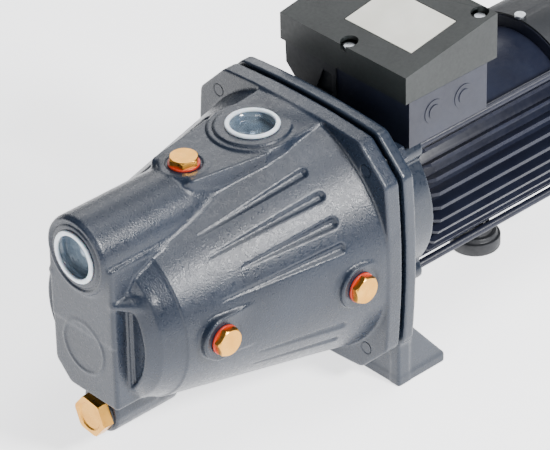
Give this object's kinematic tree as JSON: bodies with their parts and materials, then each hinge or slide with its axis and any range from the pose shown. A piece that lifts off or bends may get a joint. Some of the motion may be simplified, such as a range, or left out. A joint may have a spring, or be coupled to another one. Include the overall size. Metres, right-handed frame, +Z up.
{
  "type": "shallow well jet pump",
  "caption": "Self-priming jet pump with a tapered cast casing, front suction and top discharge ports, brass plugs, a cast foot, a finned motor and a top terminal box.",
  "frame": {"origin": "on the ground, under the shaft, in the middle of the cast foot's base", "axes": "+Y along the shaft from the suction end to the motor fan, +Z up, +X to the side with the gauge plugs"},
  "size_m": [0.1832, 0.4547, 0.2253],
  "materials": {
    "cast_blue_grey": "cast paint, satin",
    "motor_navy": "satin paint on die-cast aluminium",
    "cover_charcoal": "fine texture",
    "black_plastic": "matt",
    "hydraulic_plastic": "moulded",
    "brass": "machined",
    "steel": "zinc plated",
    "bearing_steel": "ground",
    "core_steel": "stacked sheets",
    "copper_wire": "lacquered",
    "aluminium": "cast",
    "rubber_black": "matt",
    "washer_red": "fibre washer",
    "seal_carbon": "lapped",
    "seal_ceramic": "lapped",
    "cap_white": "translucent",
    "plate_white": "printed foil"
  },
  "bodies": {
    "base": {"pump_casing": "cast_blue_grey", "casing_gasket": "rubber_black", "motor_bracket": "cast_blue_grey", "bracket_foot": "cast_blue_grey", "diffuser": "hydraulic_plastic", "venturi_tube": "hydraulic_plastic", "ejector_nozzle": "brass", "ejector_oring": "rubber_black", "seal_seat": "seal_ceramic", "front_bearing_outer": "bearing_steel", "rear_bearing_outer": "bearing_steel", "wave_washer": "steel", "stator_core": "core_steel", "stator_windings": "copper_wire", "motor_housing": "motor_navy", "rear_shield": "motor_navy", "tie_bolts": "steel", "flange_bolts": "steel", "fan_cover": "black_plastic", "fan_cover_screws": "steel", "terminal_tray": "black_plastic", "terminal_gasket": "rubber_black", "terminal_cover": "cover_charcoal", "cover_screws": "steel", "nameplate": "plate_white", "capacitor": "aluminium", "terminal_board": "black_plastic", "terminal_studs": "brass", "knockout_plugs": "motor_navy", "earth_screw": "brass", "rear_foot": "black_plastic", "rubber_foot": "rubber_black", "foot_screw": "steel"},
    "rotor": {"shaft": "steel", "impeller": "brass", "impeller_nut": "steel", "impeller_key": "steel", "seal_ring": "seal_carbon", "seal_spring": "steel", "slinger": "rubber_black", "front_bearing_inner": "bearing_steel", "rear_bearing_inner": "bearing_steel", "rotor_core": "core_steel", "rotor_end_rings": "aluminium", "fan": "black_plastic", "fan_clip": "steel"},
    "bearing_balls": {"front_bearing_balls": "bearing_steel", "rear_bearing_balls": "bearing_steel"},
    "suction_cap": {"suction_cap": "cap_white"},
    "discharge_cap": {"discharge_cap": "cap_white"},
    "priming_plug": {"priming_plug": "brass", "priming_washer": "washer_red"},
    "gauge_plug_rear": {"gauge_plug_rear": "brass", "gauge_washer_rear": "washer_red"},
    "gauge_plug_front": {"gauge_plug_front": "brass", "gauge_washer_front": "washer_red"},
    "drain_plug": {"drain_plug": "brass", "drain_oring": "rubber_black"}
  },
  "joints": [
    {"name": "rotor_spin", "type": "hinge", "parent": "base", "child": "rotor", "pos_m": [0, 0, 0.1], "axis": [0, 1, 0], "continuous": true},
    {"name": "ball_cage_spin", "type": "hinge", "parent": "base", "child": "bearing_balls", "pos_m": [0, 0, 0.1], "axis": [0, 1, 0], "continuous": true},
    {"name": "suction_cap_pull", "type": "slide", "parent": "base", "child": "suction_cap", "axis": [0, -1, 0], "range_m": [0, 0.06]},
    {"name": "discharge_cap_pull", "type": "slide", "parent": "base", "child": "discharge_cap", "axis": [0, 0, 1], "range_m": [0, 0.06]},
    {"name": "priming_plug_lift", "type": "slide", "parent": "base", "child": "priming_plug", "axis": [0, 0, 1], "range_m": [0, 0.03]},
    {"name": "gauge_plug_rear_pull", "type": "slide", "parent": "base", "child": "gauge_plug_rear", "axis": [1, 0, 0], "range_m": [0, 0.03]},
    {"name": "gauge_plug_front_pull", "type": "slide", "parent": "base", "child": "gauge_plug_front", "axis": [1, 0, 0], "range_m": [0, 0.03]},
    {"name": "drain_plug_pull", "type": "slide", "parent": "base", "child": "drain_plug", "axis": [0, -1, 0], "range_m": [0, 0.03]}
  ],
  "couplings": [
    {"joint": "ball_cage_spin", "follows": "rotor_spin", "ratio": 0.3825}
  ]
}
